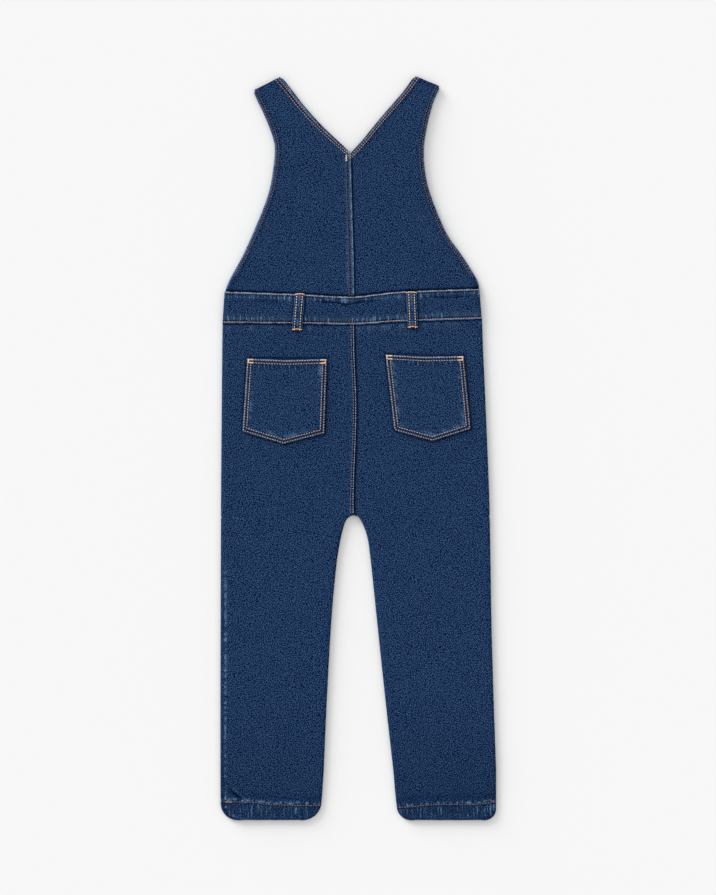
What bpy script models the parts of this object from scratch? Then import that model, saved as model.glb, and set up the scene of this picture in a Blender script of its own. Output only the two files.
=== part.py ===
"""Kids dungarees in dark denim, laid flat on their front with the back facing up.

Frame: X runs across the garment, Y from the hems to the shoulders, Z up out of the back.
The origin is on the resting surface, under the middle of the whole garment.
Every panel is a wall of cloth through straight rows that run from its left edge to its right edge.
Tables are in millimetres, with Y counted from the hems.
"""

import math

import bmesh
import bpy
from mathutils import Vector

MM = 0.001
LENGTH = 890.0  # shoulder fold to hem
CLOTH = 1.2  # denim wall
BAND = 2.4  # waistband, two layers of denim
LOOP = 1.6  # belt loop, folded denim
SEAM = 0.3  # gap between two pieces that are sewn together
ROLL = 8.0  # width of the rounded stretch beside an edge
EDGE_STOPS = (0.0, 1.5, 4.5, 9.0)  # columns of a panel beside an edge that rolls over
FRONT_INSET = 2.5  # front pieces end this far inside the back's edges

FLOOR_LAYER = CLOTH / 2  # middle of a wall that lies on the surface
LEG_HEIGHT = 4.6  # middle of the back leg's wall
HEM_HEIGHT = 3.2
BAND_HEIGHT = 5.2
BODICE_HEIGHT = 6.4  # the bodice passes over the bib, the strap end and the button
SHOULDER_HEIGHT = 4.2  # the strap just before it turns over the shoulder

BUTTON_RADIUS = 9.0
BUTTON_THICKNESS = 2.5
BUTTON_HOLE = 0.9
BUTTON_HOLE_SPREAD = 2.0
LOOP_BOW = 1.0  # how far a belt loop stands off the waistband

DENIM = (0.016, 0.041, 0.098, 1.0)
DENIM_PALE = (0.020, 0.047, 0.107, 1.0)
HORN = (0.030, 0.022, 0.018, 1.0)

# Rows of a panel, from the hem end up. roll 1 = that edge rounds down to the surface,
# roll 0 = that edge meets a neighbour at full height.
COLUMNS = ("left_x", "left_y", "right_x", "right_y", "height", "left_roll", "right_roll")

LEG_LEFT = (
    (-165.3, 60, -41.5, 60, 4.4, 1, 1),
    (-165.3, 150, -37.3, 150, 4.6, 1, 1),
    (-165.1, 240, -32.2, 240, 4.6, 1, 1),
    (-164.9, 305, -26.3, 305, 4.6, 1, 1),
    (-164.8, 335, -21.8, 335, 4.6, 1, 1),
    (-164.7, 349, -17.6, 349, 4.6, 1, 1),
    (-164.7, 358, -13.0, 359, 4.6, 1, 0.6),
    (-164.7, 366, -5.4, 365.4, 4.6, 1, 0),
)
SEAT_LEFT = (
    (-164.7, 366, -5.4, 365.4, 4.6, 1, 0),
    (-164.5, 400, -5.2, 398, 4.6, 1, 0),
    (-163.8, 490, -2.2, 489, 4.6, 1, 0),
    (-163.2, 557, -4.4, 556, 4.6, 1, 0),
    (-162.7, 594.5, -5.2, 593, 4.6, 1, 0),
)
LEG_RIGHT = (
    (42.2, 60, 165.2, 60, 4.4, 1, 1),
    (32.0, 150, 162.0, 150, 4.6, 1, 1),
    (22.4, 240, 159.7, 240, 4.6, 1, 1),
    (15.6, 305, 158.7, 305, 4.6, 1, 1),
    (11.6, 335, 158.2, 335, 4.6, 1, 1),
    (7.8, 349, 157.9, 349, 4.6, 1, 1),
    (2.6, 359, 157.8, 358, 4.6, 0.6, 1),
    (-5.1, 365.4, 157.6, 366, 4.6, 0, 1),
)
SEAT_RIGHT = (
    (-5.1, 365.4, 157.6, 366, 4.6, 0, 1),
    (-4.9, 398, 156.7, 400, 4.6, 0, 1),
    (-1.9, 489, 153.0, 490, 4.6, 0, 1),
    (-4.1, 556, 150.0, 557, 4.6, 0, 1),
    (-4.9, 593, 148.4, 599.5, 4.6, 0, 1),
)
HEM_LEFT = {"left_x": -165.2, "right_x": -44.0, "left_corner": 14, "right_corner": 13}
HEM_RIGHT = {"left_x": 45.4, "right_x": 165.4, "left_corner": 12, "right_corner": 10}

# The bodice rows end at the armhole on one side. On the other side they end at the centre seam up
# to the point of the neck, and the shoulder rows at the neck edge above it.
BODICE_LEFT = (
    (-160.2, 635.4, -4.9, 629.4, 5.2, 1, 0),
    (-154.5, 648, -5.0, 646, 5.2, 1, 0),
    (-137.5, 679, -5.6, 680, 5.8, 1, 0),
    (-119.4, 720, -6.9, 722, 6.4, 1, 0),
    (-107.5, 752, -8.1, 764, 6.4, 1, 0),
    (-102.4, 778, -9.0, 799.5, 6.4, 1, 0),
)
SHOULDER_LEFT = (
    (-102.4, 778, -9.0, 799.5, 6.4, 1, 0),
    (-100.2, 806, -20.0, 812.5, 6.4, 1, 0.8),
    (-105.0, 826, -43.0, 834.5, 5.8, 1, 1),
    (-113.5, 848, -64.0, 856.5, 4.8, 1, 1),
    (-119.5, 860.5, -77.5, 873, 4.2, 0.8, 0.8),
    (-124.0, 872.5, -89.0, 888.5, 4.2, 0, 0),
)
BODICE_RIGHT = (
    (-4.6, 629.4, 145.4, 638.9, 5.2, 0, 1),
    (-4.7, 646, 141.8, 649, 5.2, 0, 1),
    (-5.3, 680, 122.5, 679, 5.8, 0, 1),
    (-6.6, 722, 101.2, 720, 6.4, 0, 1),
    (-7.8, 764, 87.2, 752, 6.4, 0, 1),
    (-8.7, 799.5, 80.9, 778, 6.4, 0, 1),
)
SHOULDER_RIGHT = (
    (-8.7, 799.5, 80.9, 778, 6.4, 0, 1),
    (3.5, 813.5, 79.4, 806, 6.4, 0.8, 1),
    (22.5, 837, 83.0, 832, 5.8, 1, 1),
    (42.0, 860.5, 90.0, 854, 4.8, 1, 1),
    (55.5, 876.0, 94.5, 866.5, 4.2, 0.8, 0.8),
    (68.0, 889, 98.5, 875.5, 4.2, 0, 0),
)
# Front of the strap, from the fold down to its end on the bib.
STRAP_LEFT = (
    (-123.5, 871, -88.0, 886.5, 0.6, 0, 0),
    (-117.5, 858, -82.5, 873, 0.6, 0, 0),
    (-105.5, 834, -70.5, 848, 0.6, 0, 0),
    (-96.5, 808, -61.5, 820, 1.6, 0, 0),
    (-90.5, 788, -56.0, 794, 3.4, 0, 0),
    (-87.5, 765, -52.5, 767.5, 3.4, 0, 0),
)
STRAP_RIGHT = (
    (67.0, 887, 98.0, 874, 0.6, 0, 0),
    (61.0, 873, 93.5, 860, 0.6, 0, 0),
    (47.5, 848, 82.0, 835, 0.6, 0, 0),
    (37.0, 820, 72.0, 808, 1.6, 0, 0),
    (32.0, 794, 66.5, 788, 3.4, 0, 0),
    (29.5, 767.5, 64.5, 765, 3.4, 0, 0),
)
BIB = (
    (-155.0, 635.2, 141.0, 638.6, 0.6, 0, 0),
    (-144.0, 657, 131.0, 657, 0.6, 0, 0),
    (-124.3, 695, 105.0, 695, 0.8, 0, 0),
    (-106.0, 733, 85.5, 733, 3.6, 0, 0),
    (-98.5, 755, 76.5, 755, 4.9, 0, 0),
    (-94.0, 772, 72.5, 772, 4.9, 0, 0),
    (-92.5, 791, 71.0, 791, 4.9, 0, 0),
)
WAISTBAND = (
    (-162.4, 594.9, 148.0, 599.8, 5.2, 1, 1),
    (-161.9, 614.5, 147.2, 619.0, 5.2, 1, 1),
    (-161.0, 635.0, 146.0, 638.5, 5.2, 1, 1),
)
WAISTBAND_SAG = (4.2, 6.0, 7.8)  # how far the middle of each waistband row hangs below its ends

POCKET_LEFT = {"top": (-133.1, 553.3, -37.7, 552.8), "bottom": (-138.7, 466.2, -40.7, 463.8)}
POCKET_RIGHT = {"top": (32.8, 557.9, 126.4, 556.3), "bottom": (43.3, 467.4, 134.6, 469.3)}
POCKET_SAG = 1.8  # top edge, between its ends
POCKET_POINT = 13.8  # depth of the pointed bottom below its corners
POCKET_SPANS = 8

LOOP_LEFT = {"top": (-75.9, -63.9, 631.5), "bottom": (-79.1, -67.1, 586.8)}
LOOP_RIGHT = {"top": (57.0, 70.4, 633.5), "bottom": (59.6, 71.2, 589.8)}

BUTTONS = {"button_left": (-72.5, 780.0), "button_right": (49.0, 780.0)}


def clear_scene():
    for scene_object in list(bpy.data.objects):
        bpy.data.objects.remove(scene_object, do_unlink=True)


def new_collection(name):
    collection = bpy.data.collections.new(name)
    bpy.context.scene.collection.children.link(collection)
    return collection


def new_material(name, colour, roughness):
    material = bpy.data.materials.new(name)
    material.use_nodes = True
    shader = material.node_tree.nodes["Principled BSDF"]
    shader.inputs["Base Color"].default_value = colour
    shader.inputs["Roughness"].default_value = roughness
    shader.inputs["Metallic"].default_value = 0.0
    return material


def named_rows(table):
    return [dict(zip(COLUMNS, row)) for row in table]


def smooth_rows(table, steps):
    """The table's rows with smooth ones between them: each column follows a Catmull-Rom curve."""
    rows = named_rows(table)
    last = len(rows) - 1
    filled = []
    for index in range(last):
        around = [rows[max(index - 1, 0)], rows[index], rows[index + 1], rows[min(index + 2, last)]]
        for step in range(steps):
            t = step / steps
            row = {key: catmull_rom([near[key] for near in around], t) for key in COLUMNS}
            row["height"] = max(row["height"], FLOOR_LAYER)
            filled.append(row)
    filled.append(rows[last])
    return filled


def catmull_rom(values, t):
    before, start, end, after = values
    slope = (end - before) / 2
    slope_end = (after - start) / 2
    rise = end - start
    return start + slope * t + (3 * rise - 2 * slope - slope_end) * t**2 + (slope + slope_end - 2 * rise) * t**3


def hem_rows(hem, steps=3):
    """Rows that round the two corners of a hem, each with its own radius."""
    rows = []
    for step in range(steps + 1):
        angle = math.pi / 2 * step / steps
        inward = 1 - math.sin(angle)
        upward = 1 - math.cos(angle)
        left, right = hem["left_corner"], hem["right_corner"]
        values = (
            hem["left_x"] + left * inward,
            left * upward,
            hem["right_x"] - right * inward,
            right * upward,
            HEM_HEIGHT + (LEG_HEIGHT - HEM_HEIGHT) * 0.5 * upward,
            1,
            1,
        )
        rows.append(dict(zip(COLUMNS, values)))
    return rows


def leg_rows(hem, leg, seat):
    return hem_rows(hem) + smooth_rows(leg, 2)[:-1] + smooth_rows(seat, 2)


def fold_rows(top, under, steps=4):
    """Rows that carry the strap over the shoulder, round a half circle between its two layers."""
    rows = []
    radius = (top["height"] - under["height"]) / 2
    middle = (top["height"] + under["height"]) / 2
    across = Vector((top["right_x"] - top["left_x"], top["right_y"] - top["left_y"])).normalized()
    outward = Vector((-across.y, across.x)) * radius
    for step in range(1, steps):
        angle = math.pi * step / steps
        blend = step / steps
        row = {key: top[key] * (1 - blend) + under[key] * blend for key in COLUMNS}
        for side in ("left", "right"):
            row[side + "_x"] += outward.x * math.sin(angle)
            row[side + "_y"] += outward.y * math.sin(angle)
        row["height"] = middle + radius * math.cos(angle)
        rows.append(row)
    return rows


def flat_copy(rows, inset, height=FLOOR_LAYER):
    """The same outline laid on the surface, drawn in where the edge above it rolls over."""
    copies = []
    for row in rows:
        copy = dict(row, height=height, left_roll=0, right_roll=0)
        copy["left_x"] += inset * row["left_roll"]
        copy["right_x"] -= inset * row["right_roll"]
        copies.append(copy)
    return copies


def column_stops(width, spans):
    """Places across a row: close together beside both edges, even between them."""
    inner = EDGE_STOPS[-1]
    middle = [inner + (width - 2 * inner) * step / spans for step in range(1, spans)]
    return list(EDGE_STOPS) + middle + [width - stop for stop in reversed(EDGE_STOPS)]


def even_stops(width, spans):
    return [width * step / spans for step in range(spans + 1)]


def roll_drop(distance):
    """1 at an edge, 0 from ROLL inwards, along a quarter of an ellipse."""
    inward = min(max(distance / ROLL, 0.0), 1.0)
    return 1 - math.sqrt(1 - (1 - inward) ** 2)


def row_points(row, spans, edge_height, rolled=True):
    left = Vector((row["left_x"], row["left_y"], 0))
    right = Vector((row["right_x"], row["right_y"], 0))
    width = (right - left).length
    stops = column_stops(width, spans) if rolled else even_stops(width, spans)
    points = []
    for stop in stops:
        share = stop / width
        point = left.lerp(right, share)
        drop = row["left_roll"] * roll_drop(stop) + row["right_roll"] * roll_drop(width - stop)
        point.z = row["height"] - (row["height"] - edge_height) * min(drop, 1.0)
        points.append(point)
    return points


def cloth(name, points, wall, material, collection):
    """A wall of cloth through a grid of points, which are the middle of the wall."""
    mesh = bpy.data.meshes.new(name)
    grid = bmesh.new()
    rows, columns = len(points), len(points[0])
    bmesh.ops.create_grid(grid, x_segments=columns - 1, y_segments=rows - 1, size=1)
    grid.verts.ensure_lookup_table()
    for row in range(rows):
        for column in range(columns):
            place = points[row][column] - Vector((0, LENGTH / 2, 0))
            grid.verts[row * columns + column].co = place * MM
    grid.to_mesh(mesh)
    grid.free()
    piece = bpy.data.objects.new(name, mesh)
    collection.objects.link(piece)
    mesh.materials.append(material)
    mesh.shade_smooth()
    mesh.set_sharp_from_angle(angle=math.radians(40))
    wall_modifier = piece.modifiers.new("wall", "SOLIDIFY")
    wall_modifier.thickness = wall * MM
    wall_modifier.offset = 0
    wall_modifier.use_even_offset = True
    return piece


def waist_line(number, x):
    """Y of the waistband's bottom (0), middle (1) or top (2) edge at x."""
    row = named_rows(WAISTBAND)[number]
    share = (x - row["left_x"]) / (row["right_x"] - row["left_x"])
    straight = row["left_y"] + (row["right_y"] - row["left_y"]) * share
    return straight - WAISTBAND_SAG[number] * 4 * share * (1 - share)


def panel(name, rows, spans, material, collection, waist_row, rolled=True):
    """A panel whose first (0) or last (-1) row is sewn to the waistband."""
    low = CLOTH + SEAM + CLOTH / 2
    points = [row_points(row, spans, low, rolled=rolled) for row in rows]
    for point in points[waist_row]:
        point.y = waist_line(2, point.x) + SEAM if waist_row == 0 else waist_line(0, point.x) - SEAM
    return cloth(name, points, CLOTH, material, collection)


def make_legs(material, collection):
    for side, hem, leg, seat in (
        ("left", HEM_LEFT, LEG_LEFT, SEAT_LEFT),
        ("right", HEM_RIGHT, LEG_RIGHT, SEAT_RIGHT),
    ):
        rows = leg_rows(hem, leg, seat)
        panel("back_leg_" + side, rows, 4, material, collection, -1)
        flat = flat_copy(rows, FRONT_INSET)
        panel("front_leg_" + side, flat, 5, material, collection, -1, rolled=False)


def make_bodice(material, collection):
    for side, bodice, shoulder, strap in (
        ("left", BODICE_LEFT, SHOULDER_LEFT, STRAP_LEFT),
        ("right", BODICE_RIGHT, SHOULDER_RIGHT, STRAP_RIGHT),
    ):
        back = smooth_rows(bodice, 2)[:-1] + smooth_rows(shoulder, 2)
        front = smooth_rows(strap, 2)
        rows = back + fold_rows(back[-1], front[0]) + front
        panel("back_bodice_" + side, rows, 4, material, collection, 0)
    panel("front_bib", smooth_rows(BIB, 2), 10, material, collection, 0, rolled=False)


def make_waistbands(material, collection):
    rows = named_rows(WAISTBAND)
    back = [row_points(row, 14, BAND + SEAM + BAND / 2) for row in rows]
    under = flat_copy(rows, FRONT_INSET, BAND / 2)
    front = [row_points(row, 14, 0, rolled=False) for row in under]
    for name, points in (("waistband_back", back), ("waistband_front", front)):
        for number, row in enumerate(points):
            for point in row:
                point.y = waist_line(number, point.x)
        cloth(name, points, BAND, material, collection)


def make_pockets(material, collection):
    lift = LEG_HEIGHT + CLOTH / 2 + SEAM + CLOTH / 2
    for name, pocket in (("pocket_left", POCKET_LEFT), ("pocket_right", POCKET_RIGHT)):
        points = []
        steps = 5
        for step in range(steps + 1):
            up = step / steps
            ends = [low + (high - low) * up for low, high in zip(pocket["bottom"], pocket["top"])]
            row = row_points(dict(zip(COLUMNS, ends + [lift, 0, 0])), POCKET_SPANS, 0, rolled=False)
            for column, point in enumerate(row):
                point.y -= (POCKET_POINT * (1 - up) + POCKET_SAG * up) * (1 - abs(2 * column / POCKET_SPANS - 1))
            points.append(row)
        cloth(name, points, CLOTH, material, collection)


def make_belt_loops(material, collection):
    on_band = BAND_HEIGHT + BAND / 2 + SEAM + LOOP / 2
    on_leg = LEG_HEIGHT + CLOTH / 2 + SEAM + LOOP / 2
    # share of the loop's length from its lower end, height above what it lies on
    profile = (
        (0.0, on_leg),
        (0.05, on_leg),
        (0.1, on_band + 0.1),
        (0.2, on_band + LOOP_BOW * 0.7),
        (0.35, on_band + LOOP_BOW),
        (0.55, on_band + LOOP_BOW),
        (0.75, on_band + LOOP_BOW * 0.6),
        (0.88, on_band),
        (1.0, on_band),
    )
    for name, loop in (("belt_loop_left", LOOP_LEFT), ("belt_loop_right", LOOP_RIGHT)):
        points = []
        for up, height in profile:
            left, right, y = [low + (high - low) * up for low, high in zip(loop["bottom"], loop["top"])]
            points.append([Vector((left + (right - left) * part / 4, y, height)) for part in range(5)])
        cloth(name, points, LOOP, material, collection)


def make_buttons(material, collection, cutters):
    for name, (x, y) in BUTTONS.items():
        bpy.ops.mesh.primitive_cylinder_add(
            vertices=32,
            radius=BUTTON_RADIUS * MM,
            depth=BUTTON_THICKNESS * MM,
            location=(x * MM, (y - LENGTH / 2) * MM, BUTTON_THICKNESS / 2 * MM),
        )
        button = bpy.context.object
        button.name = name
        move_to(button, collection)
        button.data.materials.append(material)
        for number, (across, along) in enumerate(((1, 1), (1, -1), (-1, 1), (-1, -1))):
            bpy.ops.mesh.primitive_cylinder_add(
                vertices=10,
                radius=BUTTON_HOLE * MM,
                depth=BUTTON_THICKNESS * 2 * MM,
                location=button.location + Vector((across, along, 0)) * BUTTON_HOLE_SPREAD * MM,
            )
            hole = bpy.context.object
            hole.name = f"{name}_hole_{number}"
            hole.hide_render = True
            hole.display_type = "WIRE"
            move_to(hole, cutters)
            cut = button.modifiers.new("hole", "BOOLEAN")
            cut.operation = "DIFFERENCE"
            cut.object = hole


def move_to(scene_object, collection):
    for holder in list(scene_object.users_collection):
        holder.objects.unlink(scene_object)
    collection.objects.link(scene_object)


def main():
    clear_scene()
    dungarees = new_collection("kids_dungarees")
    cutters = new_collection("cutters")
    denim = new_material("denim", DENIM, 0.85)
    pocket_denim = new_material("pocket denim", DENIM_PALE, 0.85)
    horn = new_material("horn button", HORN, 0.4)
    make_legs(denim, dungarees)
    make_bodice(denim, dungarees)
    make_waistbands(denim, dungarees)
    make_pockets(pocket_denim, dungarees)
    make_belt_loops(denim, dungarees)
    make_buttons(horn, dungarees, cutters)


main()
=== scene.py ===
# Kids dungarees laid out flat, back up: dark denim, tan topstitching, plain pale floor.
import math

import bmesh
import bpy
import numpy as np
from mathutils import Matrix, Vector
from mathutils.bvhtree import BVHTree


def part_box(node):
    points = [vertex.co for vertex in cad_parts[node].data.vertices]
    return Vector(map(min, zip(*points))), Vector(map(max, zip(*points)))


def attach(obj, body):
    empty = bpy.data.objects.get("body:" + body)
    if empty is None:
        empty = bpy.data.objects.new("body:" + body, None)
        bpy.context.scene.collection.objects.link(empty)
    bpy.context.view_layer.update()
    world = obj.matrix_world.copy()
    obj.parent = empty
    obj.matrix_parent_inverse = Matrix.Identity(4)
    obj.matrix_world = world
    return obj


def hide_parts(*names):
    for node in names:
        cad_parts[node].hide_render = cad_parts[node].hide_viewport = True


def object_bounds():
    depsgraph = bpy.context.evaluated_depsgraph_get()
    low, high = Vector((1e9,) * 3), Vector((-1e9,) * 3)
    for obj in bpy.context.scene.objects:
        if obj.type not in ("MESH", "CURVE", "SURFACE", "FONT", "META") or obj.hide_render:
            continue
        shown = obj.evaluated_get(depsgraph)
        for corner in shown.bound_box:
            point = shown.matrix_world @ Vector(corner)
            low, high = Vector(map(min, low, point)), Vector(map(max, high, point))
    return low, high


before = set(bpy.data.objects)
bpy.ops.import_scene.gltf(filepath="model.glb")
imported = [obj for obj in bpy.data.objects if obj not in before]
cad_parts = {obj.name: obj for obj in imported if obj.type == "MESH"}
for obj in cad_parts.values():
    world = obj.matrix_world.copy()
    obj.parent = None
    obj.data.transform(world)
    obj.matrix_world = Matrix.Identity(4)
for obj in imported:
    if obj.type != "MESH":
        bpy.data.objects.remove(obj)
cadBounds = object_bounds()
mm = 0.001

# Every outline below is in millimetres, counted from the hems up and from the middle across.
# These three lay the outlines on the frame.
cadLow, cadHigh = cadBounds
middleX = (cadLow[0] + cadHigh[0]) / 2
hemY = cadLow[1]
pattern = {"length": 890.7}
scale = (cadHigh[1] - cadLow[1]) / (pattern["length"] * mm)

fabric = {
    "wall": 1.2,  # denim thickness
    "step": 2.4,  # size of the mesh's squares
    "seamGap": 0.35,
    "noPaintedShade": 50.0,  # a distance that stands for no painted shade near here
}

# Rows of a panel: left x and y, right x and y, lift above the panel's level, height that its
# edges go down to, and how far the left and the right edge go down, from 0 to 1.
# Places across a row beside an edge: how far in, and how much of the full height it has there.
edgeShapes = {
    "fold": ((4.0, 0.0), (2.2, 0.0), (0.9, 0.05), (0.2, 0.22), (0.0, 0.45), (0.25, 0.66),
             (0.9, 0.82), (1.9, 0.92), (3.2, 0.98), (5.0, 1.0), (7.5, 1.0), (10.5, 1.0)),
    "seam": ((0.0, 1.0), (0.5, 1.0), (1.0, 1.0), (1.6, 1.0), (2.3, 1.0), (3.1, 1.0),
             (4.0, 1.0), (5.0, 1.0), (6.2, 1.0), (7.6, 1.0), (9.2, 1.0), (11.0, 1.0)),
    "free": ((0.0, 0.1), (0.25, 0.3), (0.7, 0.5), (1.3, 0.66), (2.0, 0.78), (2.9, 0.88),
             (3.9, 0.94), (5.0, 0.97), (6.2, 1.0), (7.6, 1.0), (9.2, 1.0), (11.0, 1.0)),
}


# small helpers, all on numpy arrays in millimetres
def smoothStep(low, high, value):
    t = np.clip((value - low) / (high - low), 0, 1)
    return t * t * (3 - 2 * t)


def bell(value, centre, width):
    return np.exp(-(((value - centre) / width) ** 2))


def wobble(value, size, seed):
    # smooth noise along a line, from -1 to 1
    table = np.random.default_rng(seed).uniform(-1, 1, 4096)
    place = np.asarray(value) / size + 1024
    cell = np.floor(place).astype(int)
    t = place - cell
    t = t * t * (3 - 2 * t)
    return table[cell % 4096] * (1 - t) + table[(cell + 1) % 4096] * t


def swell(x, y, size, seed):
    # smooth noise over the cloth, from -1 to 1
    table = np.random.default_rng(seed).uniform(-1, 1, (256, 256))
    px, py = np.asarray(x) / size + 128.5, np.asarray(y) / size + 128.5
    cx, cy = np.floor(px).astype(int), np.floor(py).astype(int)
    tx, ty = px - cx, py - cy
    tx, ty = tx * tx * (3 - 2 * tx), ty * ty * (3 - 2 * ty)
    low = table[cx % 256, cy % 256] * (1 - tx) + table[(cx + 1) % 256, cy % 256] * tx
    high = table[cx % 256, (cy + 1) % 256] * (1 - tx) + table[(cx + 1) % 256, (cy + 1) % 256] * tx
    return low * (1 - ty) + high * ty


def waves(x, y, table):
    # slow waves of the cloth: height, size and seed
    return sum(height * swell(x, y, size, seed) for height, size, seed in table)


def puckers(x, y, table):
    # short folds that run into a seam: height, lean, size and seed
    return sum(height * wobble(x + lean * y, size, seed) for height, lean, size, seed in table)


def wornAndShadedLines(distance, along, table):
    # worn lines (strength above 0) and lines of painted shade (strength below 0) beside an edge: distance
    # from it, width and strength, then, for a patchy one, how much the strength varies, over what length,
    # and a seed
    wear = 0
    for centre, width, strength, *patchy in table:
        vary, size, seed = patchy or (0, 1, 0)
        wear = wear + bell(distance, centre, width) * (strength + vary * wobble(along, size, seed))
    return wear


def crease(x, y, fold):
    # a soft trough (depth above 0) or ridge along a line, thinning out at its ends
    start, end = np.array(fold["start"], float), np.array(fold["end"], float)
    run = end - start
    length = np.hypot(*run)
    along = ((x - start[0]) * run[0] + (y - start[1]) * run[1]) / length
    across = ((x - start[0]) * run[1] - (y - start[1]) * run[0]) / length
    share = np.clip(along / length, 0, 1)
    across = across + fold.get("bend", 0) * np.sin(share * math.pi)
    ends = smoothStep(-0.15, 0.25, along / length) * smoothStep(-0.15, 0.25, 1 - along / length)
    return -fold["depth"] * bell(across, 0, fold["width"]) * ends


def creases(x, y, folds):
    return sum(crease(x, y, fold) for fold in folds)


def catmull(values, at, corner=None):
    # values between the rows of a table; a corner row stays sharp
    last = len(values) - 1
    cell = np.clip(np.floor(at).astype(int), 0, last - 1)
    t = (at - cell)[:, None]
    before, after = np.maximum(cell - 1, 0), np.minimum(cell + 2, last)
    if corner is not None:
        before = np.where(cell == corner, cell, before)
        after = np.where(cell == corner - 1, cell + 1, after)
    p0, p1, p2, p3 = values[before], values[cell], values[cell + 1], values[after]
    slope, slopeEnd, rise = (p2 - p0) / 2, (p3 - p1) / 2, p2 - p1
    curve = (3 * rise - 2 * slope - slopeEnd) * t**2 + (slope + slopeEnd - 2 * rise) * t**3
    return p1 + slope * t + curve


def smoothLine(points, step):
    points = np.array(points, float)
    fine = catmull(points, np.linspace(0, len(points) - 1, 40 * len(points)))
    return respace(fine, step)


def respace(line, step):
    along = np.concatenate([[0], np.cumsum(np.linalg.norm(np.diff(line, axis=0), axis=1))])
    at = np.linspace(0, along[-1], max(2, int(round(along[-1] / step)) + 1))
    return np.stack([np.interp(at, along, line[:, axis]) for axis in range(line.shape[1])], axis=1)


def distanceTo(x, y, lines):
    # distance from every point to the nearest of the lines
    nearest = np.full(np.shape(x), 1e3)
    for line in lines:
        for start, end in zip(line[:-1], line[1:]):
            run = end - start
            dx, dy = x - start[0], y - start[1]
            t = np.clip((dx * run[0] + dy * run[1]) / max(run @ run, 1e-9), 0, 1)
            nearest = np.minimum(nearest, np.hypot(dx - t * run[0], dy - t * run[1]))
    return nearest


# cloth

def tableRows(table, step, corner=None):
    # the table's rows with smooth ones between them, about a step apart
    values = np.array(table, float)
    spots = [0.0]
    for index in range(len(values) - 1):
        gap = values[index + 1] - values[index]
        reach = max(np.hypot(gap[0], gap[1]), np.hypot(gap[2], gap[3]))
        steps = max(1, int(math.ceil(reach / step)))
        spots += [index + part / steps for part in range(1, steps + 1)]
    spots = np.array(spots)
    smooth = catmull(values, spots)
    if corner is not None:
        side, row = corner
        columns = (0, 1) if side == "left" else (2, 3)
        smooth[:, columns] = catmull(values[:, columns], spots, row)
    smooth[:, 6:] = np.clip(smooth[:, 6:], 0, 1)
    return smooth


def spread(rows, level, leftShape, rightShape, step, inset=0.0):
    # the grid of points of a panel, with each point's distance from its left and right edge;
    # a rolled edge is drawn in by the inset, so that the wall's outside is on the outline
    across = rows[:, 2:4] - rows[:, 0:2]
    across = across / np.linalg.norm(across, axis=1)[:, None]
    leftRoll, rightRoll = rows[:, 6:7], rows[:, 7:8]
    left = rows[:, 0:2] + across * inset * leftRoll
    right = rows[:, 2:4] - across * inset * rightRoll
    width = np.linalg.norm(right - left, axis=1)
    seam = np.array(edgeShapes["seam"])
    leftStops, rightStops = np.array(edgeShapes[leftShape]), np.array(edgeShapes[rightShape])
    nearLeft = seam[None, :, 0] * (1 - leftRoll) + leftStops[None, :, 0] * leftRoll
    nearRight = seam[None, :, 0] * (1 - rightRoll) + rightStops[None, :, 0] * rightRoll
    inner = seam[-1, 0]
    spans = max(2, int(round((width.max() - 2 * inner) / step)))
    middle = inner + (width[:, None] - 2 * inner) * (np.arange(1, spans) / spans)[None, :]
    fromLeft = np.concatenate([nearLeft, middle, width[:, None] - nearRight[:, ::-1]], axis=1)
    riseLeft = 1 - leftRoll * (1 - leftStops[None, :, 1])
    riseRight = 1 - rightRoll * (1 - rightStops[None, :, 1])
    rise = np.concatenate([riseLeft, np.ones_like(middle), riseRight[:, ::-1]], axis=1)
    x = left[:, 0:1] + across[:, 0:1] * fromLeft
    y = left[:, 1:2] + across[:, 1:2] * fromLeft
    height = (level + rows[:, 4:5]) * np.ones_like(x)
    z = rows[:, 5:6] + (height - rows[:, 5:6]) * rise
    steps = np.linalg.norm(np.diff(left, axis=0), axis=1)
    return {
        "x": x,
        "y": y,
        "z": z,
        "left": fromLeft * squareness(left, across)[:, None],
        "right": (width[:, None] - fromLeft) * squareness(right, across)[:, None],
        "leftLine": left,
        "rightLine": right,
        "along": np.cumsum(np.concatenate([[0], steps]))[:, None] * np.ones_like(x),
    }


def direction(line):
    run = np.gradient(line, axis=0)
    return run / np.maximum(np.linalg.norm(run, axis=1), 1e-9)[:, None]


def squareness(line, across):
    # 1 where a row meets the edge at a right angle
    run = direction(line)
    return np.abs(run[:, 0] * across[:, 1] - run[:, 1] * across[:, 0])


def cloth(name, sheet, material, wall):
    # a wall of cloth through the sheet's points, which are the middle of the wall
    rows, columns = sheet["x"].shape
    mesh = bpy.data.meshes.new(name)
    grid = bmesh.new()
    bmesh.ops.create_grid(grid, x_segments=columns - 1, y_segments=rows - 1, size=1)
    grid.to_mesh(mesh)
    grid.free()
    across, up = sheet["x"] * scale * mm + middleX, sheet["y"] * scale * mm + hemY
    place = np.stack([across, up, sheet["z"] * mm], axis=2)
    mesh.vertices.foreach_set("co", place.astype(np.float32).ravel())
    # per point: worn lightening (above 0) and painted shade (below 0), the distance to lines that get
    # painted shade beside them, and puckers
    for paint, plain in (("wear", 0.0), ("groove", fabric["noPaintedShade"]), ("pucker", 0.0)):
        values = sheet.get(paint, np.full_like(sheet["x"], plain)).astype(np.float32)
        mesh.attributes.new(paint, "FLOAT", "POINT").data.foreach_set("value", values.ravel())
    mesh.update()
    mesh.shade_smooth()
    piece = bpy.data.objects.new(name, mesh)
    bpy.context.scene.collection.objects.link(piece)
    piece.data.materials.append(material)
    thickness = piece.modifiers.new("wall", "SOLIDIFY")
    thickness.thickness = wall * mm
    thickness.offset = 0
    thickness.use_even_offset = np.ptp(sheet["z"]) > 0.01  # flat cloth needs none
    thickness.thickness_clamp = 0.6
    return piece


def finishPiece(piece, node):
    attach(piece, "root")
    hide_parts(node)
    return piece


def top(node):
    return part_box(node)[1].z / mm


# shaders

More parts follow.
